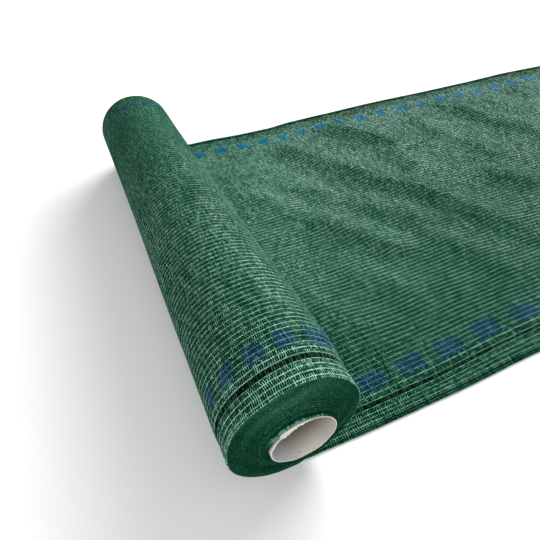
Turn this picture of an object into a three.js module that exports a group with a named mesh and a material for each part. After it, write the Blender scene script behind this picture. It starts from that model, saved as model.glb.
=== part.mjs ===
// A part-used roll of knitted shade netting. The net is folded once along its middle, so that
// its two woven edges lie together at one side, and is wound on a paper tube. Its last stretch
// lies unrolled on the ground beside the roll.
//
// Millimetres, +Z up. The roll lies along Y with its open edges at -Y and its fold at +Y, and
// the loose end runs out along +X. The finished group stands on Z = 0, centred in X and Y.

import * as THREE from 'three';

// The net, and how it is wound
const NET_WIDTH = 500;       // folded width, from the open edges to the fold
const NEAR_RADIUS = 56;      // of the roll at the open edges, whose thick borders pile up
const FAR_RADIUS = 45.8;     // of the roll at the fold
const TURN = 1.3;            // what one turn of the doubled net adds to the radius
const FLAT_DEPTH = 0.5;      // how far the roll has settled on the ground
const ROLL_SIDES = 66;       // flats round the roll
const SEAM_ANGLE = 0.02;     // radians that the step of the last turn takes up
const GAP = 0.38;            // round the tube, so that the flats of tube and net stay 0.3 apart

// The paper tube
const CORE_RADIUS = 28;
const CORE_WALL = 2;
const CORE_OUT = 10;         // how far the tube stands out of the net at each end
const CORE_SIDES = 72;
const TEAR_ANGLE = 3.75;     // where the near rim is torn, from the ground up through +X
const TEAR_HALF = 0.34;      // half the tear's width, in radians
const TEAR_DEPTH = 1.6;
const RIM_WAVE = 0.25;       // how unevenly the rest of the near rim is cut

// The near end isn't wound square: its rim leans out low on the left and in high on the right
const LEAN_MIDDLE = -0.4;
const LEAN = 2.9;
const LEAN_ANGLE = 2.41;
const FIRST_TURNS_ANGLE = 3.9;   // side on which the first turns stand out most

// Border of the net on the roll: distance from the open edge, and height over the plain net
const BORDER = [
  { from: 0.0, rise: -3.0 },     // rounded outer turns
  { from: 0.9, rise: -1.7 },
  { from: 2.6, rise: -1.0 },     // edge band
  { from: 15.0, rise: -0.9 },
  { from: 15.8, rise: -2.4 },    // open ladder, sunk between the two bands
  { from: 19.4, rise: -2.4 },
  { from: 20.2, rise: 0.2 },     // inner band
  { from: 32.0, rise: 0.0 },
];

// Slight waves in the plain net on the roll, from the open edges on
const BODY = [
  { from: 80, rise: 0.0 },
  { from: 140, rise: 0.3 },
  { from: 210, rise: 0.1 },
  { from: 290, rise: -0.3 },
  { from: 370, rise: 0.0 },
  { from: 440, rise: 0.2 },
  { from: 485, rise: 0.0 },
  { from: 497, rise: -0.6 },
  { from: 500, rise: -2.4 },     // rounded fold
];

// Ends of the roll: share of the way from the tube to the outside, and how far it stands out
const NEAR_FACE = [
  { share: 0.00, out: 7.0 },     // first turns, slid out along the tube
  { share: 0.09, out: 6.6 },
  { share: 0.17, out: 3.4 },
  { share: 0.27, out: 1.1 },
  { share: 0.60, out: 0.2 },
  { share: 0.90, out: 0.0 },
];
const FAR_FACE = [
  { share: 0.90, out: 0.3 },
  { share: 0.45, out: 0.8 },
  { share: 0.00, out: 1.2 },
];

// The loose end: two layers joined by the fold
const SHEET_START = 16;      // where the net leaves the wedge under the roll
const SHEET_END = 830;
const LAYER = 1.0;           // thickness of one layer
const LAYER_GAP = 0.35;      // least gap between the layers
const WEDGE_GAP = 0.72;      // from the loose end up to the underside of the roll
const LOFT = 2.6;            // how far the upper layer floats, away from its edges
const LOFT_EDGE = 0.4;       // how far it floats along the open edges and the fold
const NEAR_REACH = 55;       // width over which it rises from the open edge
const FAR_REACH = 30;        // width over which it sinks to the fold
const START_STEPS = [0, 3, 7, 12, 18, 25, 34, 46];   // first sections, from the wedge out
const SPACING = 20;          // between the sections past those
const UPPER_STEPS = 24;
const LOWER_STEPS = 6;
const FOLD_STEPS = 4;

// Wanderings of the three edges: distance from the roll, and place across the net
const LOWER_EDGE = [
  { at: 0, across: -1.5 },
  { at: 80, across: -2.4 },
  { at: 155, across: -2.0 },
  { at: 265, across: 1.2 },
  { at: 400, across: 2.5 },
  { at: 600, across: 0.0 },
  { at: 830, across: -2.0 },
];
const UPPER_EDGE = [
  { at: 0, across: 0.8 },
  { at: 80, across: 1.4 },
  { at: 155, across: 2.4 },
  { at: 250, across: 5.4 },
  { at: 400, across: 6.6 },
  { at: 600, across: 3.6 },
  { at: 830, across: 2.4 },
];
const FOLD_EDGE = [
  { at: 0, across: 500.0 },
  { at: 95, across: 499.8 },
  { at: 160, across: 496.0 },
  { at: 195, across: 495.6 },
  { at: 240, across: 500.0 },
  { at: 290, across: 501.0 },
  { at: 390, across: 503.0 },
  { at: 510, across: 501.0 },
  { at: 590, across: 501.0 },
  { at: 670, across: 503.0 },
  { at: 765, across: 500.0 },
  { at: 830, across: 499.0 },
];

// Soft creases of the upper layer, each along a line from (x1, y1) to (x2, y2)
const CREASES = [
  { x1: 205, y1: 400, x2: 332, y2: 242, rise: -2.3, width: 17 },
  { x1: 180, y1: 445, x2: 332, y2: 275, rise: 4.2, width: 19 },
  { x1: 270, y1: 465, x2: 355, y2: 390, rise: -2.2, width: 16 },
  { x1: 295, y1: 480, x2: 390, y2: 395, rise: 3.0, width: 18 },
  { x1: 495, y1: 430, x2: 565, y2: 335, rise: -2.4, width: 20 },
  { x1: 455, y1: 440, x2: 530, y2: 330, rise: 3.4, width: 22 },
  { x1: 170, y1: 240, x2: 225, y2: 190, rise: -2.2, width: 22 },
  { x1: 155, y1: 275, x2: 265, y2: 200, rise: 3.4, width: 20 },
  { x1: 600, y1: 300, x2: 700, y2: 190, rise: 3.6, width: 24 },
  { x1: 420, y1: 180, x2: 500, y2: 110, rise: 2.6, width: 24 },
];

const TAU = 2 * Math.PI;

// A smooth value from a short table of rows, each holding a place and a height there
function along(rows, place, at, height) {
  const next = rows.findIndex((row) => row[place] > at);
  if (next === 0) {
    return rows[0][height];
  }
  if (next < 0) {
    return rows[rows.length - 1][height];
  }
  const before = rows[next - 1];
  const after = rows[next];
  const share = THREE.MathUtils.smoothstep(at, before[place], after[place]);
  return THREE.MathUtils.lerp(before[height], after[height], share);
}

// Radius of the plain wound net, and height of the roll's axis, at a distance from its open edge
function woundRadius(y) {
  return THREE.MathUtils.mapLinear(y, 0, NET_WIDTH, NEAR_RADIUS, FAR_RADIUS);
}

function axisHeight(y) {
  return woundRadius(y) - FLAT_DEPTH;
}

// Half the angle of the flat spot under the roll
function flatAngle(y) {
  return Math.acos(axisHeight(y) / woundRadius(y));
}

// Angles of the roll's sides, from the ground up through +X and back to the ground. The last
// two lie on the flat spot, where the net leaves the roll.
function sideAngle(side, y) {
  const flat = flatAngle(y);
  if (side === ROLL_SIDES - 1) {
    return TAU;
  }
  if (side === ROLL_SIDES) {
    return TAU + flat;
  }
  const start = flat + SEAM_ANGLE;
  return start + (side / (ROLL_SIDES - 2)) * (TAU - flat - start);
}

// A point at a radius round the roll's axis, kept above the ground
function rollPoint(radius, angle, y) {
  const z = axisHeight(y) - radius * Math.cos(angle);
  return new THREE.Vector3(radius * Math.sin(angle), y, Math.max(z, 0));
}

// Outer radius on the roll, a turn thinner just past the place where the net leaves it
function outerRadius(y, rise, angle) {
  const spiral = TURN * (1 - (angle - flatAngle(y)) / TAU);
  return woundRadius(y) + rise - spiral;
}

// How far the near end leans out or in at an angle
function lean(angle) {
  return LEAN_MIDDLE + LEAN * Math.cos(angle - LEAN_ANGLE);
}

// One side of the roll, as a closed profile from the tube out, along, and back in
function rollProfile(side) {
  const points = [];
  const inner = CORE_RADIUS + GAP;
  for (const row of NEAR_FACE) {
    const angle = sideAngle(side, 0);
    const outer = outerRadius(0, BORDER[0].rise, angle);
    const radius = THREE.MathUtils.lerp(inner, outer, row.share);
    const slid = row.out * (0.75 + 0.25 * Math.cos(angle - FIRST_TURNS_ANGLE));
    points.push(rollPoint(radius, angle, lean(angle) * radius / outer - slid));
  }
  for (const row of [...BORDER, ...BODY]) {
    const angle = sideAngle(side, row.from);
    const fading = 1 - Math.min(row.from / BODY[0].from, 1);
    const radius = outerRadius(row.from, row.rise, angle);
    points.push(rollPoint(radius, angle, row.from + lean(angle) * fading));
  }
  for (const row of FAR_FACE) {
    const angle = sideAngle(side, NET_WIDTH);
    const outer = outerRadius(NET_WIDTH, BODY[BODY.length - 1].rise, angle);
    const radius = THREE.MathUtils.lerp(inner, outer, row.share);
    points.push(rollPoint(radius, angle, NET_WIDTH + row.out));
  }
  return points;
}

// A closed solid from rings of points, each ring joined to the next and the last to the first
function ringSolid(rings) {
  const positions = [];
  const indices = [];
  const size = rings[0].length;
  for (const ring of rings) {
    for (const point of ring) {
      positions.push(point.x, point.y, point.z);
    }
  }
  for (let ring = 0; ring < rings.length; ring += 1) {
    const next = (ring + 1) % rings.length;
    for (let step = 0; step < size; step += 1) {
      const after = (step + 1) % size;
      const a = ring * size + step;
      const b = ring * size + after;
      const c = next * size + after;
      const d = next * size + step;
      indices.push(a, b, c, a, c, d);
    }
  }
  return meshGeometry(positions, indices);
}

function meshGeometry(positions, indices) {
  const geometry = new THREE.BufferGeometry();
  geometry.setAttribute('position', new THREE.Float32BufferAttribute(positions, 3));
  geometry.setIndex(indices);
  geometry.computeVertexNormals();
  return geometry;
}

// The wound net, with its sunk ladder, rounded rims and the first turns slid out along the tube
function netRoll() {
  const rings = [];
  for (let side = 0; side <= ROLL_SIDES; side += 1) {
    rings.push(rollProfile(side));
  }
  return ringSolid(rings);
}

// How far back the near rim of the tube is cut at an angle, with its one torn place
function rimCut(angle) {
  const wave = RIM_WAVE * (1 + Math.sin(5 * angle) * Math.cos(3 * angle));
  const off = Math.abs(angle - TEAR_ANGLE) / TEAR_HALF;
  const tear = off < 1 ? TEAR_DEPTH * (1 - off * off) : 0;
  return wave + tear;
}

// The paper tube, laid along the tilted axis of the roll
function coreTube() {
  const rings = [];
  for (let side = 0; side < CORE_SIDES; side += 1) {
    const angle = (side / CORE_SIDES) * TAU;
    const near = -CORE_OUT + rimCut(angle);
    const far = NET_WIDTH + CORE_OUT;
    const bore = CORE_RADIUS - CORE_WALL;
    rings.push([
      rollPoint(bore, angle, near),
      rollPoint(CORE_RADIUS, angle, near),
      rollPoint(CORE_RADIUS, angle, far),
      rollPoint(bore, angle, far),
    ]);
  }
  return ringSolid(rings);
}

// Height of the roll's underside over the loose end. Past the roll it is out of reach.
function underside(x, y) {
  const radius = woundRadius(y) - TURN;
  if (x >= radius) {
    return Infinity;
  }
  return axisHeight(y) - Math.sqrt(radius * radius - x * x);
}

// Height that the creases add at a point of the upper layer
function creaseRise(x, y) {
  const point = new THREE.Vector3(x, y, 0);
  let rise = 0;
  for (const crease of CREASES) {
    const from = new THREE.Vector3(crease.x1, crease.y1, 0);
    const to = new THREE.Vector3(crease.x2, crease.y2, 0);
    const nearest = new THREE.Line3(from, to).closestPointToPoint(point, true, new THREE.Vector3());
    const off = nearest.distanceTo(point) / crease.width;
    rise += crease.rise * Math.exp(-off * off);
  }
  return rise;
}

// Top of the upper layer, low along its edges and under the roll
function upperTop(x, y, nearEdge, farEdge) {
  const risen = THREE.MathUtils.smoothstep(y, nearEdge, nearEdge + NEAR_REACH);
  const kept = 1 - THREE.MathUtils.smoothstep(y, farEdge - FAR_REACH, farEdge);
  const middle = Math.min(risen, kept);
  const loft = THREE.MathUtils.lerp(LOFT_EDGE, LOFT, middle) + creaseRise(x, y) * middle;
  const free = 2 * LAYER + LAYER_GAP + Math.max(loft, 0);
  return Math.min(free, underside(x, y) - WEDGE_GAP);
}

// Section of the loose end at one station: the lower layer out to the fold and the upper layer
// back, as pairs of points on the outer and the inner side of the net
function sheetSection(x) {
  const lowerEdge = along(LOWER_EDGE, 'at', x, 'across');
  const upperEdge = along(UPPER_EDGE, 'at', x, 'across');
  const fold = along(FOLD_EDGE, 'at', x, 'across');
  const foldTop = upperTop(x, fold, upperEdge, fold);
  const bend = foldTop / 2;
  const foldStart = fold - bend;
  const outer = [];
  const inner = [];
  for (let step = 0; step < LOWER_STEPS; step += 1) {
    const y = THREE.MathUtils.lerp(lowerEdge, foldStart, step / LOWER_STEPS);
    outer.push(new THREE.Vector3(x, y, 0));
    inner.push(new THREE.Vector3(x, y, LAYER));
  }
  for (let step = 0; step <= FOLD_STEPS; step += 1) {
    const angle = (step / FOLD_STEPS) * Math.PI;
    const side = Math.sin(angle);
    const up = Math.cos(angle);
    const hollow = bend - LAYER;
    outer.push(new THREE.Vector3(x, foldStart + bend * side, bend - bend * up));
    inner.push(new THREE.Vector3(x, foldStart + hollow * side, bend - hollow * up));
  }
  for (let step = UPPER_STEPS - 1; step >= 0; step -= 1) {
    const y = THREE.MathUtils.lerp(upperEdge, foldStart, step / UPPER_STEPS);
    const top = upperTop(x, y, upperEdge, fold);
    outer.push(new THREE.Vector3(x, y, top));
    inner.push(new THREE.Vector3(x, y, top - LAYER));
  }
  return { outer, inner };
}

// Places of the sections, close together in the wedge under the roll
function stations() {
  const places = START_STEPS.map((step) => SHEET_START + step);
  const last = places[places.length - 1];
  const count = Math.round((SHEET_END - last) / SPACING);
  for (let step = 1; step <= count; step += 1) {
    places.push(last + ((SHEET_END - last) * step) / count);
  }
  return places;
}

// The loose end, as one solid lofted through its sections and closed at both ends
function netSheet() {
  const positions = [];
  const indices = [];
  const sections = stations().map(sheetSection);
  const count = sections[0].outer.length;
  const ring = 2 * count;
  for (const section of sections) {
    for (const point of [...section.outer, ...section.inner.slice().reverse()]) {
      positions.push(point.x, point.y, point.z);
    }
  }
  for (let station = 0; station + 1 < sections.length; station += 1) {
    for (let step = 0; step < ring; step += 1) {
      const a = station * ring + step;
      const b = station * ring + ((step + 1) % ring);
      indices.push(a, b, b + ring, a, b + ring, a + ring);
    }
  }
  const end = (sections.length - 1) * ring;
  for (let step = 0; step + 1 < count; step += 1) {
    const across = ring - 1 - step;
    indices.push(step, across - 1, step + 1, step, across, across - 1);
    indices.push(end + step, end + step + 1, end + across - 1);
    indices.push(end + step, end + across - 1, end + across);
  }
  return meshGeometry(positions, indices);
}

function mesh(name, geometry, color, roughness) {
  const material = new THREE.MeshStandardMaterial({ color, roughness, metalness: 0 });
  const piece = new THREE.Mesh(geometry, material);
  piece.name = name;
  return piece;
}

const part = new THREE.Group();
part.add(mesh('core_tube', coreTube(), 0xc9bfb2, 0.9));
part.add(mesh('net_roll', netRoll(), 0x2c5a45, 0.6));
part.add(mesh('net_sheet', netSheet(), 0x34634d, 0.6));

// Stand the part on the ground, centred
const box = new THREE.Box3().setFromObject(part);
const middle = box.getCenter(new THREE.Vector3());
part.position.set(-middle.x, -middle.y, -box.min.z);

export default part;
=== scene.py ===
# %% [markdown]
# # A roll of shade netting
#
# Green knitted netting is sold folded double on a paper tube. Here a part-used roll lies on the
# ground with its last stretch rolled out beside it. The lesson builds four things: the paper
# tube, the wound net, the loose net, and the small threads that show along the net's borders.
# The solids of the roll are loaded first, and each of the three large pieces takes the place
# of one of them.

# %% Load the frame
import math
import random
import bmesh
import bpy
from mathutils import Matrix, Vector, noise


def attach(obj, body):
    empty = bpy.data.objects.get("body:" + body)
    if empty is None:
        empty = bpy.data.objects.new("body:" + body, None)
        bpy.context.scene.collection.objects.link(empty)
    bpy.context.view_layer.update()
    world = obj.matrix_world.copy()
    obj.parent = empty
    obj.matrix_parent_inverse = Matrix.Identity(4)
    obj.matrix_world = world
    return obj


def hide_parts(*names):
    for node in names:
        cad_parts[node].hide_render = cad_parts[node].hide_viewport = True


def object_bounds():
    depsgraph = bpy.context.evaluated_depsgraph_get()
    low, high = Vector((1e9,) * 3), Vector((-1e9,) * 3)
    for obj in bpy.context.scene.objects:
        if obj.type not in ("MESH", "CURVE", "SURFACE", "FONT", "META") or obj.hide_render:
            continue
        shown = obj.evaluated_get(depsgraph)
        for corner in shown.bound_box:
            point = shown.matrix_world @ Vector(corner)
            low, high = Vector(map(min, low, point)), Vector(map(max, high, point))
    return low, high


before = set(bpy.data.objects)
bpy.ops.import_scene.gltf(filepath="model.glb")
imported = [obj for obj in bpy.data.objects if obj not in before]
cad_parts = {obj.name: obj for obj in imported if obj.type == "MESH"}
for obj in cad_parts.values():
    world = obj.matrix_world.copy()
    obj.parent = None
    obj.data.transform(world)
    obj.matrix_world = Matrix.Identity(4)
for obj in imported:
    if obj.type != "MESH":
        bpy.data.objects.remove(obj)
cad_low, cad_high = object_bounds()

print("solids:", sorted(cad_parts))
print("box:", [round(v, 4) for v in (*cad_low, *cad_high)])

# %% [markdown]
# ## The roll's own measures
#
# All shapes are worked out in millimetres, in a frame that suits a roll: x runs from the line
# where the roll touches the ground, y from the net's open edges to its fold, and z up. One
# function at the end of this step turns such a point into a place in the scene. The numbers are
# the ones that the solids were made from, so that the pieces lie where the solids are.

# %% Sizes of the net and the roll
MM = 0.001
TAU = 2 * math.pi
NET_WIDTH = 500          # folded width
NEAR_RADIUS = 56         # of the roll at the open edges
FAR_RADIUS = 45.8        # and at the fold
TURN = 1.3               # one turn of the doubled net
FLAT_DEPTH = 0.5         # how far the roll has settled
CORE_RADIUS = 28
CORE_WALL = 2
CORE_OUT = 10            # how far the tube stands out at each end
SHEET_END = 830          # where the loose end is cut
LAYER = 1.0              # one layer of the net in the solids
WALE = 5.0               # from one row of stitches to the next
STITCH_LAID = 2.3        # from one stitch to the next, along the loose net
STITCH_WOUND = 1.75      # the same on the roll, where the photo shows them closer
LADDER = (18.1, 21.9)    # open ladder in the border, measured from the open edge
INNER_BAND = 31.0        # where the border's inner band ends and the blue marks start

contact_x = cad_high.x - SHEET_END * MM
open_y = cad_high.y - (NET_WIDTH + CORE_OUT) * MM


def place(x, y, z):
    """A point of the roll's own frame, in millimetres, as a place in the scene."""
    return Vector((contact_x + x * MM, open_y + y * MM, z * MM))


print("contact line at", round(contact_x, 4), "open edges at", round(open_y, 4))


# %% Small helpers
def mix(a, b, share):
    return a + (b - a) * share


def ease(value, low, high):
    """0 below low, 1 above high, and a soft step between them."""
    share = min(max((value - low) / (high - low), 0), 1)
    return share * share * (3 - 2 * share)


def along(rows, at):
    """A smooth value from rows of (place, value)."""
    if at <= rows[0][0]:
        return rows[0][1]
    for (low, before), (high, after) in zip(rows, rows[1:]):
        if at < high:
            return mix(before, after, ease(at, low, high))
    return rows[-1][1]


def wave(x, y, seed):
    """A soft random height between about -1 and 1, the same in each run."""
    return noise.noise(Vector((x, y, seed)))


def wound_radius(y):
    return mix(NEAR_RADIUS, FAR_RADIUS, y / NET_WIDTH)


def axis_height(y):
    return wound_radius(y) - FLAT_DEPTH


def flat_angle(y):
    """Half the angle of the flat spot under the roll."""
    return math.acos(axis_height(y) / wound_radius(y))


def round_axis(radius, angle, y):
    """A point at a radius round the roll's axis, kept above the ground."""
    z = axis_height(y) - radius * math.cos(angle)
    return (radius * math.sin(angle), y, max(z, 0.0))


def on_chain(across):
    """Whether a distance across the net falls on a row of chain stitches."""
    return abs((across / WALE) % 1 - 0.5) < 0.1


def add_object(name, data):
    """A new object, linked to the scene."""
    made = bpy.data.objects.new(name, data)
    bpy.context.scene.collection.objects.link(made)
    return made


print("roll across, near and far:", 2 * NEAR_RADIUS, 2 * FAR_RADIUS)

# %% [markdown]
# ## Camera
#
# The camera comes first, because each piece is seen through it. It was fitted to the outlines
# of the roll and the sheet: it stands at the left of the roll's near end, looks down at about
# 45 degrees, and has a 33 mm lens.

# %% Camera
CAMERA_AT = (-88.9, -152.9, 395.1)      # millimetres, in the roll's own frame
CAMERA_DOWN = 44.86                     # degrees below the horizon
CAMERA_TURN = 24.12                     # degrees from the roll's axis towards the loose net
LENS = 33.27                            # millimetres, on a sensor 36 mm wide

camera_data = bpy.data.cameras.new("camera")
camera_data.lens = LENS
camera_data.sensor_width = 36
camera_data.clip_start = 0.01
camera = add_object("camera", camera_data)
camera.location = place(*CAMERA_AT)
camera.rotation_euler = (math.radians(90 - CAMERA_DOWN), 0, math.radians(-CAMERA_TURN))
bpy.context.scene.camera = camera
print("camera at", [round(v, 3) for v in camera.location])

# %% [markdown]
# ## Shader maths
#
# The knit is drawn by arithmetic on the net's own coordinates: how far along the net, and how
# far from its open edge. Wiring Math nodes by hand hides such sums, so a small class wraps a
# socket and lets Python's operators add the nodes.


# %% A socket with operators
class Signal:
    """A number that varies over the surface, with Python's operators."""

    def __init__(self, finish, socket):
        self.finish = finish
        self.socket = socket

    def math(self, operation, *others):
        values = [self, *others]
        return self.finish.node("ShaderNodeMath", {"operation": operation}, dict(enumerate(values)))

    def __add__(self, other):
        return self.math("ADD", other)

    __radd__ = __add__

    def __sub__(self, other):
        return self.math("SUBTRACT", other)

    def __rsub__(self, other):
        return self.math("MULTIPLY_ADD", -1.0, other)

    def __mul__(self, other):
        return self.math("MULTIPLY", other)

    __rmul__ = __mul__

    def __truediv__(self, other):
        return self.math("DIVIDE", other)

    def fract(self):
        return self.math("FRACT")

    def floor(self):
        return self.math("FLOOR")

    def abs(self):
        return self.math("ABSOLUTE")

    def least(self, other):
        return self.math("MINIMUM", other)

    def most(self, other):
        return self.math("MAXIMUM", other)

    def ease(self, low, high):
        """A soft step from 0 at low to 1 at high."""
        values = {"Value": self, "From Min": low, "From Max": high}
        return self.finish.node("ShaderNodeMapRange", {"interpolation_type": "SMOOTHSTEP"}, values)

    def within(self, low, high, soft):
        """1 between low and high, with soft sides."""
        return self.ease(low - soft, low + soft) * (1 - self.ease(high - soft, high + soft))


# %% A material that is built from nodes
class Finish:
    """A material, and one method that adds any node to it."""

    def __init__(self, name):
        self.material = bpy.data.materials.new(name)
        self.material.use_nodes = True
        self.tree = self.material.node_tree
        self.shader = self.tree.nodes["Principled BSDF"]

    def node(self, kind, settings=None, values=None, out=0):
        made = self.tree.nodes.new(kind)
        for key, value in (settings or {}).items():
            setattr(made, key, value)
        for key, value in (values or {}).items():
            self.feed(made.inputs[key], value)
        return Signal(self, made.outputs[out])

    def feed(self, socket, value):
        if isinstance(value, Signal):
            self.tree.links.new(value.socket, socket)
        else:
            socket.default_value = value

    def colours(self, first, second, share):
        """A mix of two colours, each a tuple or a Signal."""
        settings = {"data_type": "RGBA", "clamp_factor": True}
        return self.node("ShaderNodeMix", settings, {0: share, 6: first, 7: second}, 2)

    def ramp(self, level, stops):
        """A colour for a level, from rows of (level, colour)."""
        made = self.tree.nodes.new("ShaderNodeValToRGB")
        while len(made.color_ramp.elements) < len(stops):
            made.color_ramp.elements.new(0.5)
        for element, (position, colour) in zip(made.color_ramp.elements, stops):
            element.position = position
            element.color = colour
        self.feed(made.inputs[0], level)
        return Signal(self, made.outputs[0])

    def mesh_map(self, name):
        """A map of the mesh, and its first and second coordinate."""
        uv = self.node("ShaderNodeUVMap", {"uv_map": name})
        first = self.node("ShaderNodeSeparateXYZ", {}, {0: uv})
        return uv, first, Signal(self, first.socket.node.outputs[1])

    def place_on(self):
        """The place on the object, in metres."""
        return self.node("ShaderNodeTexCoord", {}, out=3)

    def noise(self, vector, scale, detail=2.0, rough=0.5):
        values = {"Vector": vector, "Scale": scale, "Detail": detail, "Roughness": rough}
        return self.node("ShaderNodeTexNoise", {}, values)

    def cells(self, *numbers):
        """A random number for each whole-number cell."""
        vector = self.node("ShaderNodeCombineXYZ", {}, dict(enumerate(numbers)))
        return self.node("ShaderNodeTexWhiteNoise", {"noise_dimensions": "3D"}, {"Vector": vector})

    def wear(self, height, distance, strength):
        """Feeds a height to the Normal input, through a Bump node."""
        values = {"Height": height, "Distance": distance, "Strength": strength}
        self.feed(self.shader.inputs["Normal"], self.node("ShaderNodeBump", {}, values))

    def set(self, **values):
        for key, value in values.items():
            self.feed(self.shader.inputs[key.replace("_", " ")], value)


def srgb(red, green, blue):
    """A colour read off a screen, 0 to 255, as the linear colour that shaders use."""
    def linear(level):
        level /= 255
        return level / 12.92 if level <= 0.04045 else ((level + 0.055) / 1.055) ** 2.4
    return (linear(red), linear(green), linear(blue), 1.0)


# %% [markdown]
# ## The knit
#
# The net is knitted from flat plastic tapes. Rows of chain stitches run along its length, 5 mm
# apart, and stand a little proud. Short tapes cross between them like the rungs of a ladder,
# with a dark slit after each one. The border at the open edge has two bands with more
# contrast, and an open ladder between them. Rows of blue marks run along the net near the
# border and near the fold.
#
# Everything is drawn on the net's own map, so the pattern follows the cloth round the roll and
# over the creases. Each stitch also gets a random number, because the tapes lie at odd angles
# and glint one by one.

# %% Colours of the net
def green(level):
    """The net's green at a level: dark in the slits, pale grey-green on a shiny tape."""
    return srgb(level - 3, level + 45, level + 25)


NET_STOPS = [
    (0.0, srgb(1, 26, 14)), (0.25, green(20)), (0.5, green(54)), (0.75, green(96)),
    (1.0, green(158)),
]
MARK_STOPS = [(0.0, srgb(8, 30, 40)), (0.5, srgb(42, 80, 94)), (1.0, srgb(100, 160, 182))]
FAR_MARK_STOPS = [(0.0, srgb(1, 50, 76)), (0.5, srgb(3, 92, 120)), (1.0, srgb(44, 154, 182))]
DIM_MARK_STOPS = [(0.0, srgb(6, 38, 58)), (0.5, srgb(31, 76, 98)), (1.0, srgb(82, 146, 170))]
# painted shade: near black for the open ladder, where the net underneath lies in shade
LADDER_PAINTED_SHADE = srgb(2, 22, 13)
COAT = 0.18              # how far the tapes shine


# %% The knit as a finish
# Millimetres. A reach is a pair of distances from the open edge, between which a value changes.
SWAY = 4.0                       # how far the rows of stitches wander
SWAY_REACH = (24.0, 70.0)        # where that sets in
WILD_REACH = (50.0, 250.0)       # where the tapes come to lie less evenly and the painted glints grow
CONTRAST_REACH = (180.0, 430.0)  # where the contrast changes
PAINTED_SHEEN_REACH = (60.0, 400.0)       # where the painted sheen changes
PAINTED_LIGHT_REACH = (60.0, 150.0)       # from the open edge, where the painted light beside the roll begins
PAINTED_LIGHT_ALONG = (70.0, 320.0)       # along the net, where that painted light ends
GROW_ALONG = (150.0, 330.0)      # along the net, where the far marks grow taller
MARK_HEIGHT = 14.0               # height of a far mark before that
FOLD_SHADE = (24, 8)             # width of the painted shade at the fold, and of the painted dark line in it
SECOND_EDGE_SHADOW = (1.2, 9.0)         # painted shadow on the lower layer, just inside its open edge
LADDER_SIDE = 0.5                # how far the painted shade of the ladder reaches past the ladder
LADDER_GROWTH = 4.5              # and how much further on the lower layer, under the opening


def knit_level(finish, length, from_edge, stitch, wild):
    """Brightness of the knit from 0 to 1: slits, cross tapes and rows of chain stitches.

    Its chain, rung and glint are given back too, with the painted glints, for the shine and the
    bump.
    """
    rows = from_edge / WALE
    steps = length / stitch + finish.cells(rows.floor(), 1.0, 6.0)
    off_row = (rows.fract() - 0.5).abs()
    off_step = (steps.fract() - 0.5).abs()
    glint = finish.cells(steps.floor(), rows.floor(), 3.0)
    second = finish.cells(steps.floor(), (rows + 0.5).floor(), 8.0)
    # painted glints: a fine random speckle of bright and dark tapes, partly their own uneven tone
    painted_glints = finish.cells((steps * 2.0).floor(), (rows * 4.0).floor(), 5.0) - 0.5
    bead = (1 - from_edge.ease(0.4, 0.9)) * 0.6
    chain = ((1 - off_row.ease(0.05, 0.14)) * (1 - wild * 0.3)).most(bead)
    rung = 1 - off_step.ease(0.14, 0.36)
    tape = 0.04 + rung * (0.48 + (glint - 0.5) * 0.32)
    level = tape + chain * (0.52 + second * 0.34 - tape)
    return level + painted_glints * wild * 0.52, chain, rung, glint, painted_glints * wild


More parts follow.
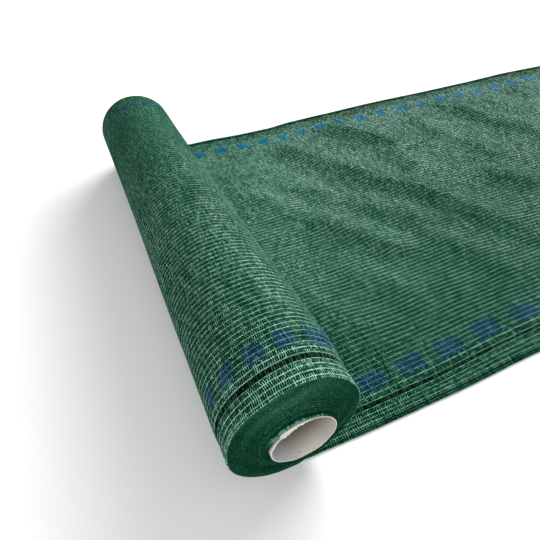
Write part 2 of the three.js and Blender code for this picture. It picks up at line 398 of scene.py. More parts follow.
def net_finish(name, stitch, wildness, contrasts, lifts, painted_light_by_roll, painted_fold_shade, border_lift, marks, phases):
    """The knit, for a piece whose map holds the distance along and across the net.

    wildness says how unevenly the tapes lie, and so how strong the painted glints are. It,
    contrasts and lifts hold a value near the open edge and one near the fold; the lifts are a
    painted sheen, dim near the open edge and brighter towards the fold. The lift close to the roll
    is painted light, where the roll shades the net, what is taken off at the fold is painted
    shade, and border_lift is added on the border.
    """
    finish = Finish(name)
    uv, first, second = finish.mesh_map("Net")
    across = second * 1000.0
    length = first * 1000.0
    second_layer = across.ease(NET_WIDTH + 2, NET_WIDTH + 4)
    from_edge = across.least(2 * NET_WIDTH - across).most(0.0)
    sway = finish.noise(uv, 13.0, 1.0) - 0.5
    swayed = from_edge + sway * SWAY * from_edge.ease(*SWAY_REACH)
    border = 1 - from_edge.ease(INNER_BAND - 1.0, INNER_BAND + 1.0)
    wild = wildness[0] + from_edge.ease(*WILD_REACH) * (wildness[1] - wildness[0])
    level, chain, rung, glint, painted_glints = knit_level(finish, length, swayed, stitch, wild)

    broad = finish.noise(uv, 16.0, 3.0, 0.6) - 0.5
    inwards = from_edge.ease(*PAINTED_SHEEN_REACH)
    smoother = from_edge.ease(*CONTRAST_REACH)
    contrast = contrasts[0] + smoother * (contrasts[1] - contrasts[0]) + border * 0.25
    # painted sheen: the knit is dimmer near the open edge and brighter towards the fold
    lift = lifts[0] + inwards * (lifts[1] - lifts[0])
    # painted light: the net is lifted close to the roll, where the roll shades it
    lift = lift + (1 - length.ease(*PAINTED_LIGHT_ALONG)) * from_edge.ease(*PAINTED_LIGHT_REACH) * painted_light_by_roll
    level = (level - 0.4) * contrast + 0.4 + lift + broad * 0.16 + border * border_lift
    # painted shade at the fold, and a deeper painted line of shade along it
    level = level - across.within(NET_WIDTH - FOLD_SHADE[0], NET_WIDTH + 12, 6.0) * painted_fold_shade * 0.4
    level = level - across.within(NET_WIDTH - FOLD_SHADE[1], NET_WIDTH + 12, 1.5) * painted_fold_shade
    # painted shadow on the lower layer, under the edge of the upper one
    level = level - second_layer * from_edge.within(*SECOND_EDGE_SHADOW, 0.5) * 0.3
    colour = finish.ramp(level, NET_STOPS)

    near_phase, far_phase = phases(length)
    near_rows, far_rows, far_stops = marks
    ragged = (glint - 0.5) * 0.04
    near = (near_phase.fract() + ragged).within(0.02, 0.64, 0.03)
    near = near * swayed.within(*near_rows, 0.6) * 0.95
    far = (far_phase.fract() + ragged).within(0.02, 0.47, 0.04)
    taller = length.ease(*GROW_ALONG) * (far_rows[1] - far_rows[0] - MARK_HEIGHT)
    far_start = far_rows[1] - MARK_HEIGHT - taller
    far = far * (swayed - far_start).ease(-0.8, 0.8) * 0.95
    far = far * (1 - swayed.ease(far_rows[1] - 0.8, far_rows[1] + 0.8))
    colour = finish.colours(colour, finish.ramp(level, MARK_STOPS), near)
    colour = finish.colours(colour, finish.ramp(level, far_stops), far)
    # painted shade in the open ladder, where the net seen through it is in shade; it is wider on
    # the lower layer, under the opening in the upper one
    grown = LADDER_GROWTH * second_layer
    above = from_edge.math("GREATER_THAN", LADDER[0] - LADDER_SIDE - grown)
    ladder = above - from_edge.math("GREATER_THAN", LADDER[1] + LADDER_SIDE + grown)
    colour = finish.colours(colour, LADDER_PAINTED_SHADE, ladder * (0.96 - second_layer * glint * 0.5))

    shiny = (level + painted_glints * 0.7).ease(0.3, 1.0) * (1 - ladder)
    finish.set(Base_Color=colour, Roughness=0.8, Specular_IOR_Level=0.0)
    finish.set(Coat_Weight=shiny * COAT, Coat_Roughness=0.33)
    finish.wear(rung * 0.4 + chain * 0.3 + glint * 0.3, 0.0004, 0.5)
    return finish


# %% Where the blue marks fall
# The marks are spaced as they are in the photo: on the loose net they drift apart along the
# net, and on the roll they are closer together on top than at its sides. Places and spacings
# are millimetres along the loose net, and degrees round the roll.
LAID_NEAR = [(126.9, 43.4), (170.3, 47.0), (217.3, 51.0)]
LAID_FAR = [(67.2, 32.8), (300.0, 39.2)]
WOUND_NEAR = (196.5, 0.33, 25.8, 50.0)   # top, offset there, spacing there and at the side
WOUND_FAR = (196.0, 0.27, 15.0, 20.5)
NEAR_SIDE = 150.0        # the near marks' spacing changes below this
FAR_TOP = 24.0           # and the far ones' this far from the top


def spaced(at, rows):
    """Counts marks along the net, from rows of (place, spacing from there on)."""
    start, spacing = rows[0]
    phase = (at - start) / spacing
    for change, wider in rows[1:]:
        phase = phase - (at - change).most(0.0) * (1 / spacing - 1 / wider)
        spacing = wider
    return phase


def laid_phases(length):
    return spaced(length, LAID_NEAR), spaced(length, LAID_FAR)


def wound_phases(length):
    degrees = length / NEAR_RADIUS * (180 / math.pi)
    top, offset, spacing, wider = WOUND_NEAR
    below = (NEAR_SIDE - degrees).most(0.0)
    near = (degrees - top) / spacing + offset + below * (1 / spacing - 1 / wider)
    top, offset, spacing, wider = WOUND_FAR
    off = degrees - top
    past = (off.abs() - FAR_TOP).most(0.0) * (1 / spacing - 1 / wider)
    return near, off / spacing - past * off.math("SIGN") + offset


LAID_MARKS = ((29.6, 47.6), (452.0, 470.5), FAR_MARK_STOPS)
WOUND_MARKS = ((31.0, 46.8), (465.0, 479.0), DIM_MARK_STOPS)
net_laid = net_finish(
    "net_laid", STITCH_LAID, wildness=(0.34, 0.8), contrasts=(1.3, 1.3), lifts=(-0.10, -0.01),
    painted_light_by_roll=0.1, painted_fold_shade=0.28, border_lift=-0.02, marks=LAID_MARKS, phases=laid_phases,
)
net_wound = net_finish(
    "net_wound", STITCH_WOUND, wildness=(0.3, 0.65), contrasts=(1.7, 0.85), lifts=(-0.08, -0.02),
    painted_light_by_roll=0.0, painted_fold_shade=0.04, border_lift=0.08, marks=WOUND_MARKS, phases=wound_phases,
)
print("knit nodes:", len(net_laid.tree.nodes), len(net_wound.tree.nodes))


# %% [markdown]
# ## The wound ends
#
# The end of the roll is the edge of every turn, seen end on: a spiral of rounded ridges with
# dark lines between them. The spiral is in the mesh. The finish paints shade into the lines
# between the turns and into a finer line between the two layers of each, paints light on the top
# of the end, and paints the pale stitches where the first turns have slid out along the tube,
# with painted light making them brighter on top.

# %% The finish of the wound ends
STITCHES_ROUND = 172     # stitches that show round each turn of the end
LOOPS_ROUND = 156        # pale loops round the first turns


def ends_finish():
    finish = Finish("net_ends")
    uv, turned, turns = finish.mesh_map("Net")
    around = turned * float(STITCHES_ROUND)
    line = (turns.fract() - 0.5).abs()
    crest = 1 - line.ease(0.12, 0.5)
    split = 1 - ((turns * 2.0).fract() - 0.5).abs().ease(0.36, 0.5)
    tick = 1 - (around.fract() - 0.5).abs().ease(0.18, 0.46)
    glint = finish.cells(around.floor(), turns.floor(), 5.0)
    cloudy = finish.noise(uv, 34.0, 3.0, 0.6)
    # painted shade in the lines between the turns, and between the two layers of each turn
    level = crest * 0.25 * (0.4 + split * 0.6) + glint * tick * 0.16
    level = level * (0.4 + cloudy * 1.2)
    level = level + finish.noise(finish.place_on(), 900.0, 1.0).ease(0.58, 0.74) * 0.3
    # painted light: the top of the end is lighter, where the light falls on it
    level = level + turned.within(0.38, 0.60, 0.1) * turns.ease(1.5, 5.0) * 0.15
    loops = turned * float(LOOPS_ROUND)
    reach = finish.cells(loops.floor(), 1.0, 9.0)
    first = 1 - (turns - reach * 0.3).ease(0.45, 0.75)
    # painted light: the pale stitches are brighter on the top of the roll
    painted_top_light = turned.within(0.39, 0.65, 0.07) * 0.75 + 0.25
    loop = 1 - (loops.fract() - 0.5).abs().ease(0.14, 0.36)
    stitches = loop * (0.75 + reach * 0.6) * painted_top_light
    level = level + first * (stitches - level)
    colour = finish.ramp(level, NET_STOPS)
    finish.set(Base_Color=colour, Roughness=0.8, Specular_IOR_Level=0.0)
    finish.wear(crest * 0.6 + tick * 0.3, 0.0005, 0.5)
    return finish


net_ends = ends_finish()
print("ends nodes:", len(net_ends.tree.nodes))

# %% [markdown]
# ## Paper tube finish
#
# The tube is wound from pale board. Its inside has faint spiral seams and a few specks, and
# painted light and shade: a cool painted light on the left, painted shade on the right, and
# painted shade that deepens inwards. The cut rim and the outside have a plainer finish of their
# own.


# %% The finish of the paper tube
SPIRAL = 0.11            # metres along the tube for one turn of its seam


def paper_finish():
    finish = Finish("core_paper")
    place_on = finish.place_on()
    _, turned, along_tube = finish.mesh_map("Tube")
    spiral = (along_tube / SPIRAL - turned).fract()
    seam = 1 - (spiral - 0.5).abs().ease(0.0, 0.012)
    pulp = finish.noise(place_on, 900.0, 4.0, 0.7)
    cloud = finish.noise(place_on, 60.0, 3.0)
    speck = finish.noise(place_on, 420.0, 1.0).ease(0.72, 0.78)
    colour = finish.colours(srgb(202, 199, 188), srgb(250, 247, 238), cloud * 0.55 + pulp * 0.45)
    # painted shade: the inside darkens further in from the mouth
    colour = finish.colours(colour, srgb(80, 70, 60), along_tube.ease(-0.011, 0.014) * 0.85)
    # painted light: a cool pale light on the inside, on the left near the mouth
    left = turned.within(0.80, 0.94, 0.06) * (1 - along_tube.ease(0.0, 0.02))
    colour = finish.colours(colour, srgb(214, 220, 236), left * 0.6)
    # painted shade on the right side of the inside
    right = turned.within(0.13, 0.40, 0.05)
    colour = finish.colours(colour, srgb(116, 104, 92), right * 0.25)
    colour = finish.colours(colour, srgb(96, 84, 70), speck * 0.7 + seam * 0.35)
    finish.set(Base_Color=colour, Roughness=0.9, Specular_IOR_Level=0.25)
    finish.wear(pulp * 0.5 + cloud * 0.4 - seam * 0.8, 0.0003, 0.4)
    return finish


def rim_finish():
    finish = Finish("core_rim")
    pulp = finish.noise(finish.place_on(), 1400.0, 4.0, 0.7)
    colour = finish.colours(srgb(196, 194, 180), srgb(236, 234, 220), pulp)
    finish.set(Base_Color=colour, Roughness=0.95, Specular_IOR_Level=0.2)
    finish.wear(pulp, 0.0005, 0.6)
    return finish


core_paper = paper_finish()
core_rim = rim_finish()


# %% [markdown]
# ## Making pieces
#
# Every new piece ends the same way: its bmesh becomes an object at the origin, it gets its
# finishes and smooth shading, and it rides on the one body.

# %% From bmesh to piece
def make_piece(name, bm, finishes, replaced=None):
    mesh = bpy.data.meshes.new(name)
    bm.to_mesh(mesh)
    bm.free()
    for finish in finishes:
        mesh.materials.append(finish.material)
    for polygon in mesh.polygons:
        polygon.use_smooth = True
    piece = add_object(name, mesh)
    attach(piece, "root")
    if replaced:
        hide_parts(replaced)
    triangles = sum(len(p.vertices) - 2 for p in mesh.polygons)
    print(name, "has", triangles, "triangles before its modifiers")
    return piece


# %% [markdown]
# ## The paper tube
#
# A tube is a small outline spun round its axis. The outline here is the section of the wall with
# softened rims. The near rim was cut by hand: it is a little wavy, and at the upper left a flap
# of it is torn away. The spin gives a clean tube first, and then the points near that rim are
# moved inwards and along the tube, as far as the tables below say at their angle.

# %% Spin the tube
# By degrees from the ground up through +x: how far the rim is pressed in, and how far its
# inner corner is torn further in. The torn place is between 184 and 226 degrees.
PRESSED = [(0, 1.2), (40, 0.3), (90, 0), (130, 0), (165, 0.5), (183, 0.9), (222, 0.8), (226, 4.0)]
PRESSED += [(245, 3.8), (270, 2.8), (300, 2.4), (330, 2.0), (360, 1.2)]
TORN = [(0, 0), (166, 0), (174, 1.4), (184, 4.0), (198, 6.6), (214, 8.2), (224, 7.6)]
TORN += [(227, 0.4), (262, 0.6), (290, 0.3), (330, 0), (360, 0)]
MOUTH_SHIFT = 0.9        # the mouth sits a little to the right
RIM_WAVE = 0.2           # how far the cut wanders
RIM_ROUND = 0.2          # how much its corners are softened
RIM_DEPTH = 24           # how far down the tube it is out of round
FLARE = 1.3              # how far the wall is worn thin at the mouth
TUBE_STEPS = 240


def ragged(angle, fine, seed):
    """A random height round the rim that joins up after a full turn."""
    return wave(fine * math.cos(angle), fine * math.sin(angle), seed)


def rim_shift(angle, radius, depth):
    """New radius and shift along the tube for a point near the rim.

    depth is 1 at the rim and 0 where the tube is round again.
    """
    degrees = math.degrees(angle)
    torn = along(TORN, degrees)
    inner = min(max(CORE_RADIUS - RIM_ROUND - radius, 0) / 0.4, 1)
    curl = torn * (1 + 0.25 * ragged(angle, 14, 7.0)) * inner * depth ** 4
    cut = RIM_WAVE * (1 + math.sin(5 * angle) * math.cos(3 * angle))
    cut += 0.15 * ragged(angle, 14, 4.0) + 0.2 * torn * inner
    return radius - along(PRESSED, degrees) * depth - curl, cut * depth


def tube_outline():
    """The wall's section as (radius, y), from the bore at the far rim round to the outside."""
    bore = CORE_RADIUS - CORE_WALL
    near = -CORE_OUT
    far = NET_WIDTH + CORE_OUT
    depths = (3, 6, 10, 16, RIM_DEPTH)
    inside = [(bore, y) for y in (far - 1, 380, 250, 120, 50)]
    inside += [(bore + FLARE * (1 - d / RIM_DEPTH), near + d) for d in reversed(depths)]
    rim = [(bore + FLARE, near + 1.0), (bore + FLARE, near + 0.3), (bore + FLARE + 0.1, near)]
    rim += [(CORE_RADIUS - RIM_ROUND, near), (CORE_RADIUS, near + RIM_ROUND)]
    outside = [(CORE_RADIUS, near + depth) for depth in (1.2, *depths)]
    outside += [(CORE_RADIUS, y) for y in (50, 250, far - 1)]
    back = [(CORE_RADIUS - RIM_ROUND, far), (bore + RIM_ROUND, far)]
    return inside + rim + outside + back


def build_tube():
    bm = bmesh.new()
    ring = [bm.verts.new((radius, y, 0)) for radius, y in tube_outline()]
    edges = [bm.edges.new(pair) for pair in zip(ring, ring[1:] + ring[:1])]
    bmesh.ops.spin(
        bm, geom=ring + edges, cent=(0, 0, 0), axis=(0, 1, 0), dvec=(0, 0, 0),
        angle=TAU, steps=TUBE_STEPS, use_merge=True, use_duplicate=False,
    )
    bmesh.ops.remove_doubles(bm, verts=bm.verts, dist=1e-4)
    uv = bm.loops.layers.uv.new("Tube")
    for face in bm.faces:
        middle = face.calc_center_median()
        turn = math.atan2(middle.x, -middle.z) % TAU
        outside = math.hypot(middle.x, middle.z) > CORE_RADIUS - 0.5 * RIM_ROUND
        face.material_index = 1 if outside or middle.y < -CORE_OUT + 0.9 * RIM_ROUND else 0
        for loop in face.loops:
            here = math.atan2(loop.vert.co.x, -loop.vert.co.z) % TAU
            here += TAU * round((turn - here) / TAU)
            loop[uv].uv = (here / TAU, loop.vert.co.y * MM)
    for vert in bm.verts:
        angle = math.atan2(vert.co.x, -vert.co.z) % TAU
        depth = 1 - ease(vert.co.y, -CORE_OUT + 0.5, -CORE_OUT + RIM_DEPTH)
        radius, cut = rim_shift(angle, math.hypot(vert.co.x, vert.co.z), depth)
        y = vert.co.y + cut
        x = radius * math.sin(angle) + MOUTH_SHIFT * depth
        vert.co = place(x, y, axis_height(y) - radius * math.cos(angle))
    bmesh.ops.recalc_face_normals(bm, faces=bm.faces)
    make_piece("paper_tube", bm, [core_paper, core_rim], "core_tube")


build_tube()

# %% [markdown]
# ## The wound net
#
# The roll is one closed skin: out over the near end, along the roll, in over the far end, and
# back along the tube. Such a skin is a plain grid of faces that is bent into place. The columns
# of the grid go round the roll, and its rows follow the profile. A list of rows says what each
# one is, so that the spiral of the ends and the ridges of the knit get rows where they need
# them. The last column is laid on the first, and the last row on the first, and they are welded.

# %% Tables of the wound net
# Angles go round the roll from the ground, up through +x. The last turn wasn't wound square:
# its open edge wanders along the roll, and on the right side it is loose near the border.
# (degrees, millimetres along the roll)
EDGE_WANDER = [(0, -2.5), (30, -1.3), (60, 0.2), (90, 0.8), (120, 1.0), (140, 2.5), (155, 3.5)]
EDGE_WANDER += [(172, 3.5), (190, 2.4), (210, 1.4), (240, 0.9), (255, 0.2), (272, -2.0)]
EDGE_WANDER += [(300, -3.1), (330, -3.1), (360, -2.5)]
FAR_WANDER = [(0, 0), (90, 0), (140, 0.6), (200, 1.8), (250, 1.2), (300, 0), (360, 0)]
# (millimetres along the roll, millimetres outwards)
LOOSE_ALONG = [(0, 1.0), (18, 1.3), (28, 1.6), (44, 3.7), (75, 3.4), (125, 2.6), (165, 0.8)]
LOOSE_ALONG += [(205, 0.2), (250, 0.8), (300, 0)]
RISES = [(0, -0.7), (2.6, -0.8), (17.3, -0.7), (18.1, -1.7), (21.9, -1.7), (22.7, 0.1)]
RISES += [(32, 0), (80, 0), (140, 0.3), (210, 0.1), (290, -0.3), (370, 0), (440, 0.3), (500, 0.8)]
# (share of the way from the tube to the rim, millimetres out of the end)
NEAR_OUT = [(0, 9.6), (0.045, 9.4), (0.08, 6.2), (0.12, 4.9), (0.2, 3.3), (0.32, 1.6)]
NEAR_OUT += [(0.6, 0.4), (0.9, 0), (1, 0)]
FAR_OUT = [(0, 1.2), (0.45, 0.8), (0.9, 0.3), (1, 0)]
# (degrees, share of the looseness) and (degrees, share of the way out of the near end)
LOOSE_ROUND = [(55, 0), (100, 1), (148, 1), (196, 0)]
SLID_ROUND = [(0, 0.9), (90, 0.97), (140, 1), (225, 1), (262, 0.88), (360, 0.9)]
RIM_NEAR = 0.9           # how much the rim is rounded at the near end
RIM_FAR = 1.6            # and at the far end
RIDGE = 0.18             # how far the chain stitches stand proud
TURN_RELIEF = 0.6        # how deep the lines between the turns are
ROWS_A_TURN = 5          # rows of the grid for each turn of an end
COLUMNS = 132            # columns of the grid round the roll
BORE_GAP = 0.35          # between the tube and the net on it


def edge_wander(angle):
    return along(EDGE_WANDER, math.degrees(angle) % 360)


def looseness(angle, y):
    return along(LOOSE_ROUND, math.degrees(angle) % 360) * along(LOOSE_ALONG, y)


def rim_drop(distance, size):
    """How much lower the surface is at a distance from a rounded rim."""
    if distance >= size:
        return 0.0
    return size - math.sqrt(size * size - (size - distance) ** 2)


# %% Rows of the profile
def side_rows():
    """Places along the roll: three to each row of stitches, more at the rims and the ladder."""
    rows = [0.0, 0.1, 0.35]
    rows += [k * WALE + part for k in range(int(NET_WIDTH / WALE)) for part in (0.9, 2.5, 4.1)]
    rows += [LADDER[0] - 0.3, LADDER[0] + 0.2, LADDER[1] - 0.2, LADDER[1] + 0.3]
    rows += [NET_WIDTH - 0.45, NET_WIDTH - 0.15, NET_WIDTH]
    return sorted(rows)


def profile_rows():
    """Every row of the grid as (kind, value), and the first one again at the end."""
    near_steps = round((NEAR_RADIUS - CORE_RADIUS) / TURN * ROWS_A_TURN)
    far_steps = round((FAR_RADIUS - CORE_RADIUS) / TURN * ROWS_A_TURN)
    rows = [("near", step / near_steps) for step in range(near_steps)]
    rows += [("side", y) for y in side_rows()]
    rows += [("far", 1 - step / far_steps) for step in range(1, far_steps + 1)]
    rows += [("bore", y) for y in (400, 250, 100)]
    return rows + rows[:1]


profile = profile_rows()
print("profile rows:", len(profile))


# %% A point of the wound net
def outer_radius(y, turned):
    """Outer radius at a distance along the roll, after a share of a turn."""
    radius = wound_radius(y) + along(RISES, y) - TURN * (1 - turned)
    radius += looseness(flat_angle(y) + TAU * turned, y)
    radius -= rim_drop(y, RIM_NEAR) + rim_drop(NET_WIDTH - y, RIM_FAR)
    in_ladder = LADDER[0] - 0.5 <= y <= LADDER[1] + 0.5
    if on_chain(y) and not in_ladder:
        radius += RIDGE
    return radius


def turn_relief(radius, turned, share, seed):
    """How far an end stands out: the rounded edge of the turn, and the turn's own reach."""
    turns = (radius - CORE_RADIUS) / TURN - turned
    bulge = abs(math.sin(math.pi * turns)) ** 0.7
    stands = 0.5 * wave(math.floor(turns) * 0.73, 0.5 * math.sin(turned * TAU), seed)
    fades = ease(share, 0.06, 0.14) * (1 - ease(share, 0.96, 1.0))
    return (TURN_RELIEF * bulge + stands) * fades


def side_point(angle, turned, y, lower=0.0):
    """A point of the last turn, by its distance from the open edge. lower sinks it in."""
    wobble = 0.18 * wave(2 * math.cos(angle), y * 0.02 + 2 * math.sin(angle), 2.0)
    radius = outer_radius(y, turned) + wobble - lower
    leans = edge_wander(angle) * (1 - ease(y, 25, 110))
    leans += along(FAR_WANDER, math.degrees(angle) % 360) * ease(y, 470, NET_WIDTH)
    return round_axis(radius, angle, y + leans)


def wound_point(column, row):
    """The place of a point of the grid, by its column and its row of the profile."""
    kind, value = row
    turned = (column % COLUMNS) / COLUMNS
    if kind == "side":
        return side_point(flat_angle(value) + TAU * turned, turned, value)
    inner = CORE_RADIUS + BORE_GAP
    if kind == "bore":
        return round_axis(inner, flat_angle(value) + TAU * turned, value)
    end = 0 if kind == "near" else NET_WIDTH
    angle = flat_angle(end) + TAU * turned
    outer = outer_radius(end, turned)
    radius = mix(inner, outer, value)
    if kind == "near":
        slid = along(NEAR_OUT, value) * along(SLID_ROUND, math.degrees(angle) % 360)
        out = turn_relief(radius, turned, value, 11.0)
        hugs = ease(slid, 4, 9)
        inward = along(PRESSED, math.degrees(angle) % 360) * hugs * 0.7
        y = edge_wander(angle) * ease(value, 0, 1) - slid - out
        x, y, z = round_axis(radius - inward, angle, y)
        return (x + MOUTH_SHIFT * hugs, y, z)
    out = along(FAR_OUT, value) + turn_relief(radius, turned, value, 17.0)
    out += along(FAR_WANDER, math.degrees(angle) % 360) * ease(value, 0, 1)
    return round_axis(radius, angle, NET_WIDTH + out)


def wound_map(column, row):
    """Where a point is on the net's map: metres along and across, or turns at the ends."""
    kind, value = row
    angle = TAU * column / COLUMNS
    if kind == "side":
        return ((angle + flat_angle(value)) * NEAR_RADIUS * MM, value * MM)
    if kind == "bore":
        return (angle / TAU, 0.0)
    outer = NEAR_RADIUS if kind == "near" else FAR_RADIUS
    turns = value * (outer - CORE_RADIUS) / TURN - (column % COLUMNS) / COLUMNS
    return (angle / TAU, max(turns, 0.0))


# %% Bend the grid into the roll
def grid_cells(bm, columns, rows):
    """A grid of faces, and the column and row of each of its points."""
    bmesh.ops.create_grid(bm, x_segments=columns, y_segments=rows, size=1)
    return {
        vert: (round((vert.co.x + 1) / 2 * columns), round((vert.co.y + 1) / 2 * rows))
        for vert in bm.verts
    }


def build_wound_net():
    bm = bmesh.new()
    cells = grid_cells(bm, COLUMNS, len(profile) - 1)
    uv = bm.loops.layers.uv.new("Net")
    for face in bm.faces:
        rung = min(cells[vert][1] for vert in face.verts)
        kinds = {profile[rung][0], profile[rung + 1][0]}
        at_side = kinds == {"side"}
        face.material_index = 0 if at_side else 1
        for loop in face.loops:
            column, row = cells[loop.vert]
            kind, value = profile[row]
            if kind == "side" and not at_side:
                kind, value = ("near", 1.0) if value < NET_WIDTH / 2 else ("far", 1.0)
            loop[uv].uv = wound_map(column, (kind, value))
    for vert, (column, row) in cells.items():
        vert.co = place(*wound_point(column, profile[row]))
    bmesh.ops.remove_doubles(bm, verts=bm.verts, dist=1e-6)
    bmesh.ops.recalc_face_normals(bm, faces=bm.faces)
    make_piece("wound_net", bm, [net_wound, net_ends], "net_roll")


build_wound_net()

# %% [markdown]
# ## The loose net
#
# The loose net is one sheet: an upper layer, the fold, and a lower layer back to the second open
# edge. It is a grid again, and its rows run along the net, side by side across its whole
# unfolded width. The upper layer needs three rows for each row of stitches. The lower one,
# which hardly shows, needs few. The edges wander as they do in the photo, and the soft creases
# are listed, each along a short line.

# %% Tables of the loose net
# Where the three edges lie, in rows of (millimetres along the net, place across it).
LOWER_EDGE = [(0, -1.5), (80, -2.4), (155, -2.0), (265, 1.2), (400, 2.5), (600, 0), (830, -2)]
UPPER_EDGE = [(0, 0.8), (80, 1.4), (155, 2.4), (250, 5.4), (400, 6.6), (600, 3.6), (830, 2.4)]
FOLD_EDGE = [(0, 500), (95, 500), (160, 496), (195, 495.5), (240, 500), (290, 501)]
FOLD_EDGE += [(390, 503), (510, 501), (590, 501), (670, 503), (765, 500), (830, 499)]
CREASES = [
    # from x, y, to x, y, rise, width
    (185, 430, 198, 410, 4, 14),
    (205, 418, 250, 348, 6, 19),
    (258, 332, 318, 258, 8, 21),
    (328, 243, 368, 172, 6, 20),
    (275, 475, 352, 378, 8, 17),
    (472, 472, 508, 422, 6, 18),
    (518, 405, 565, 330, 8, 22),
    (164, 260, 220, 180, 7, 16),
    (105, 340, 135, 295, 5, 20),
    (160, 340, 188, 312, 5, 18),
    (432, 252, 462, 222, 7, 16),
    (426, 420, 433, 380, 5, 15),
    (630, 470, 650, 420, 5, 14),
    (580, 430, 600, 380, 4, 20),
    (338, 350, 346, 295, 5, 20),
    (460, 335, 470, 290, 5, 20),
    (245, 255, 272, 222, 4, 17),
    (85, 160, 110, 110, 3, 24),
    (165, 165, 190, 110, 3, 22),
    (285, 165, 312, 115, 4, 24),
]
# By distance along the net: how far the border's ladder and its blue marks lie off their place
# across the net, and how much narrower the ladder is on each side.
LADDER_DRIFT = [(80, -3.8), (143, -3.8), (188, -2.6), (237, -2.1), (290, -0.5), (400, 0)]
MARK_DRIFT = [(80, -2.6), (98, -2.1), (143, -0.9), (188, 0.2), (237, 0.7), (290, 1.2), (400, 1)]
LADDER_SQUEEZE = [(100, 0.1), (190, 0.4), (270, 0.8), (420, 0.5), (600, 0.7)]
LAYER_GAP = 0.35         # least gap between the layers
WEDGE_GAP = 0.4          # from the loose net up to the underside of the roll
LOFT = 1.6               # how far the upper layer floats, away from its edges
LOFT_EDGE = 0.4          # how far it floats along the open edges and the fold
NEAR_REACH = 55          # width over which it rises from the open edge
FAR_REACH = 30           # width over which it sinks to the fold
CREASE_FADE = (66, 22)   # the creases fade between these distances from the fold
SHEET_START = 12         # where the net leaves the wedge under the roll
LAID_STATIONS = 92       # columns of the grid along the net
STATION_GROWTH = 1.06    # above 1, they lie closer near the roll
LOWER_STEP = 20          # from one row to the next on the lower layer
THREAD = 0.7             # thickness of the knitted net
FOLD_LENGTH = 6.0        # width of net that the fold takes up


# %% Height of the loose net
def underside(x, y):
    """Height of the roll over a point of the loose net, and infinite past the roll."""
    radius = wound_radius(y) - TURN
    if x >= radius:
        return math.inf
    return axis_height(y) - math.sqrt(radius * radius - x * x)


def crease_rise(x, y):
    rise = 0.0
    for x1, y1, x2, y2, height, width in CREASES:
        run_x, run_y = x2 - x1, y2 - y1
        share = ((x - x1) * run_x + (y - y1) * run_y) / (run_x * run_x + run_y * run_y)
        share = min(max(share, 0), 1)
        off = math.hypot(x - x1 - share * run_x, y - y1 - share * run_y) / width
        rise += height * math.exp(-off * off)
    return rise


def upper_top(x, y, near_edge, far_edge):
    """Height of the upper layer's top: free where it can be, and under the roll in the wedge."""
    risen = ease(y, near_edge, near_edge + NEAR_REACH)
    kept = 1 - ease(y, far_edge - FAR_REACH, far_edge)
    middle = min(risen, kept)
    lie = 0.7 * (1 - ease(y, near_edge, near_edge + 8))
    creased = middle * (1 - ease(y, far_edge - CREASE_FADE[0], far_edge - CREASE_FADE[1]))
    loft = mix(LOFT_EDGE, LOFT, middle) + crease_rise(x, y) * creased
    loft += 0.5 * wave(x * 0.02, y * 0.02, 5.0) * middle
    free = 2 * LAYER + LAYER_GAP + max(loft, 0) - lie
    return min(free, underside(x, y) - WEDGE_GAP)


def border_drift(x, v):
    """How far a point of the upper layer's border lies off its place across the net."""
    at_ladder = along(LADDER_DRIFT, x)
    at_marks = along(MARK_DRIFT, x)
    squeeze = along(LADDER_SQUEEZE, x)
    if v < 20:
        return at_ladder * ease(v, 1, 15) + squeeze * ease(v, 12, 18)
    if v < 38:
        return mix(at_ladder, at_marks, ease(v, 22, 34)) - squeeze * (1 - ease(v, 22, 28))
    return at_marks * (1 - ease(v, 48, 100))


def laid_point(x, v):
    """The place of a point of the net, by its distance along the net and across it unfolded."""
    near_edge = along(UPPER_EDGE, x) + 0.25 * wave(x * 0.09, 0, 21.0)
    low_edge = along(LOWER_EDGE, x) + 0.25 * wave(x * 0.09, 0, 23.0)
    fold = along(FOLD_EDGE, x) + 0.3 * wave(x * 0.05, 0, 25.0)
    low = LAYER / 2
    high = upper_top(x, fold, near_edge, fold) - LAYER / 2
    bend = (high - low) / 2
    fold_start = fold - bend - LAYER / 2
    if v <= NET_WIDTH:
        y = mix(near_edge, fold_start, v / NET_WIDTH) + border_drift(x, v)
        return (x, y, upper_top(x, y, near_edge, fold) - LAYER / 2)
    if v >= NET_WIDTH + FOLD_LENGTH:
        share = (v - NET_WIDTH - FOLD_LENGTH) / (NET_WIDTH - FOLD_LENGTH)
        return (x, mix(fold_start, low_edge, share), low)
    angle = math.pi * (v - NET_WIDTH) / FOLD_LENGTH
    return (x, fold_start + bend * math.sin(angle), (high + low) / 2 + bend * math.cos(angle))


# %% Bend the grid into the loose net
def laid_rows():
    """Distances across the unfolded net: the upper layer, the fold and the lower layer."""
    upper = [0.0]
    upper += [k * WALE + part for k in range(int(NET_WIDTH / WALE)) for part in (0.85, 2.5, 4.15)]
    upper += [LADDER[0], LADDER[1], NET_WIDTH]
    fold = [NET_WIDTH + FOLD_LENGTH * part / 4 for part in (1, 2, 3, 4)]
    lower = [NET_WIDTH + LOWER_STEP + LOWER_STEP * step for step in range(24)]
    lower += [2 * NET_WIDTH - part for part in (12, 6, 2.5, 0)]
    return sorted(upper) + fold + lower


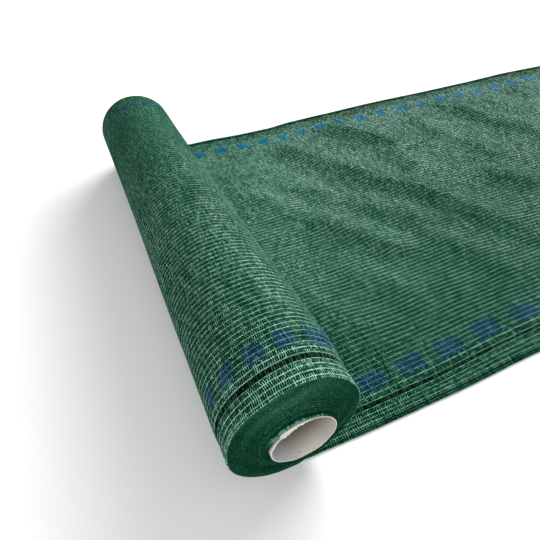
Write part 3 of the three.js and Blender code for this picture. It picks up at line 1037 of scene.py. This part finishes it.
def build_laid_net():
    across = laid_rows()
    bm = bmesh.new()
    cells = grid_cells(bm, LAID_STATIONS, len(across) - 1)
    uv = bm.loops.layers.uv.new("Net")
    stations = [
        mix(SHEET_START, SHEET_END, (step / LAID_STATIONS) ** STATION_GROWTH)
        for step in range(LAID_STATIONS + 1)
    ]
    for face in bm.faces:
        for loop in face.loops:
            column, row = cells[loop.vert]
            loop[uv].uv = (stations[column] * MM, across[row] * MM)
    for vert, (column, row) in cells.items():
        x, y, z = laid_point(stations[column], across[row])
        at_chain = on_chain(across[row]) and across[row] < NET_WIDTH
        vert.co = place(x, y, z + (RIDGE if at_chain else 0))
    opened = [
        face for face in bm.faces
        if LADDER[0] * MM < sum(loop[uv].uv.y for loop in face.loops) / 4 < LADDER[1] * MM
    ]
    bmesh.ops.delete(bm, geom=opened, context="FACES")
    bmesh.ops.recalc_face_normals(bm, faces=bm.faces)
    piece = make_piece("laid_net", bm, [net_laid], "net_sheet")
    thicken = piece.modifiers.new("thickness", "SOLIDIFY")
    thicken.thickness = THREAD * MM
    thicken.offset = 0
    return piece


laid_net = build_laid_net()

# %% [markdown]
# ## Threads of the ladder and the edges
#
# The open ladder is crossed by single threads, and the open edges end in a row of small loops.
# Both are hundreds of copies of one tiny shape, so each is made with as few faces as will do.

# %% Threads and beads
random.seed(7)
RUNG_THICK = 0.5         # thickness of a thread across the ladder
BEAD_HALF = 0.45         # half the thickness of an edge stitch
LAID_GAPS = 0.25         # share of the threads that are missing on the loose net
WOUND_GAPS = 0.3         # and on the roll
STITCHES_START = 58      # where the open edges come out beside the roll


def between(start, end, thick, flat, share):
    """A matrix that lays a unit shape between two points, over a share of the way."""
    run = end - start
    turn = run.to_track_quat("Z", "Y").to_matrix().to_4x4()
    size = Matrix.Diagonal((thick, thick * flat, run.length * share, 1))
    return Matrix.Translation((start + end) / 2) @ turn @ size


def add_rung(bm, start, end, thick):
    """A thin block from one point to another."""
    bmesh.ops.create_cube(bm, size=1, matrix=between(start, end, thick, 0.7, 1.0))


def add_bead(bm, start, end, thick):
    """A small egg of thread that lies from one point to another."""
    matrix = between(start, end, thick, 1.0, 0.6)
    bmesh.ops.create_icosphere(bm, subdivisions=1, radius=1, matrix=matrix)


def thread_finish():
    finish = Finish("net_thread")
    patch = finish.noise(finish.place_on(), 500.0, 2.0)
    colour = finish.colours(green(14), green(96), patch.ease(0.38, 0.68))
    finish.set(Base_Color=colour, Roughness=0.6, Specular_IOR_Level=0.0, Coat_Weight=COAT * 0.5)
    finish.wear(patch, 0.0002, 0.4)
    return finish


net_thread = thread_finish()


# %% Threads across the ladder of the loose net
def build_laid_rungs():
    bm = bmesh.new()
    for step in range(int((SHEET_END - SHEET_START - 4) / STITCH_LAID)):
        x = SHEET_START + 2 + step * STITCH_LAID
        if random.random() < LAID_GAPS:
            continue
        slant = random.uniform(-0.5, 0.5)
        start = place(*laid_point(x, LADDER[0] - 0.4))
        end = place(*laid_point(x + slant, LADDER[1] + 0.4))
        add_rung(bm, start, end, RUNG_THICK * MM * random.uniform(0.5, 0.9))
    return make_piece("laid_rungs", bm, [net_thread])


laid_rungs = build_laid_rungs()


# %% Threads across the ladder of the roll
def build_wound_rungs():
    bm = bmesh.new()
    count = int(TAU * NEAR_RADIUS / STITCH_WOUND)
    for step in range(count):
        turned = (step + 0.5) / count
        if random.random() < WOUND_GAPS or turned < 0.04 or turned > 0.95:
            continue
        ends = [
            place(*side_point(flat_angle(y) + TAU * turned, turned, y, lower))
            for y, lower in ((LADDER[0] - 0.9, 0.3), (LADDER[1] + 0.9, 0.5))
        ]
        add_rung(bm, *ends, RUNG_THICK * MM * random.uniform(0.5, 0.9))
    make_piece("wound_rungs", bm, [net_thread])


build_wound_rungs()


# %% Edge stitches of the loose net
def build_edge_stitches():
    bm = bmesh.new()
    for v in (0.3, 2 * NET_WIDTH - 0.3):
        for step in range(int((SHEET_END - STITCHES_START - 2) / STITCH_LAID)):
            x = STITCHES_START + step * STITCH_LAID
            rise = random.uniform(-0.1, 0.25)
            ends = []
            for part in (0.1, 0.9):
                px, py, pz = laid_point(x + part * STITCH_LAID, v)
                ends.append(place(px, py - 0.25, max(pz + rise, BEAD_HALF * 1.25 + 0.05)))
            add_bead(bm, *ends, BEAD_HALF * MM * random.uniform(0.8, 1.25))
    return make_piece("edge_stitches", bm, [net_thread])


edge_stitches = build_edge_stitches()

# %% [markdown]
# ## Floor and light
#
# A plain pale floor and soft light from large lamps, as in a product studio. The main lamp is
# a wide one beyond the loose net on the right, and it stands fairly low, so that the creases
# show and the left side of the roll falls off into dark green.


# %% Floor
FLOOR_HALF = 6           # metres
FLOOR_DROP = 0.0003      # how far it lies below the part, so that the two never share a plane


def build_floor():
    bm = bmesh.new()
    bmesh.ops.create_grid(bm, x_segments=1, y_segments=1, size=FLOOR_HALF)
    bmesh.ops.translate(bm, verts=bm.verts, vec=(0, 0, -FLOOR_DROP))
    mesh = bpy.data.meshes.new("floor")
    bm.to_mesh(mesh)
    bm.free()
    finish = Finish("floor")
    grain = finish.noise(finish.place_on(), 3.0)
    colour = finish.colours((0.94, 0.94, 0.94, 1), (0.96, 0.96, 0.96, 1), grain)
    finish.set(Base_Color=colour, Roughness=0.8)
    mesh.materials.append(finish.material)
    floor = add_object("floor", mesh)


build_floor()


# %% Lamps
def add_lamp(name, at, towards, size, power):
    data = bpy.data.lights.new(name, "AREA")
    data.shape = "RECTANGLE"
    data.size, data.size_y = size
    data.energy = power
    lamp = add_object(name, data)
    lamp.location = at
    lamp.rotation_euler = (Vector(towards) - Vector(at)).to_track_quat("-Z", "Y").to_euler()


add_lamp("key", (3.4, 3.0, 2.3), (-0.1, 0, 0), (4.5, 1.8), 460)
add_lamp("fill", (-1.1, -1.6, 1.5), (-0.3, -0.1, 0), (1.4, 1.4), 20)
world = bpy.data.worlds.new("studio")
world.use_nodes = True
world.node_tree.nodes["Background"].inputs["Color"].default_value = (1, 1, 1, 1)
world.node_tree.nodes["Background"].inputs["Strength"].default_value = 0.46
bpy.context.scene.world = world
bpy.context.scene.view_settings.view_transform = "Standard"
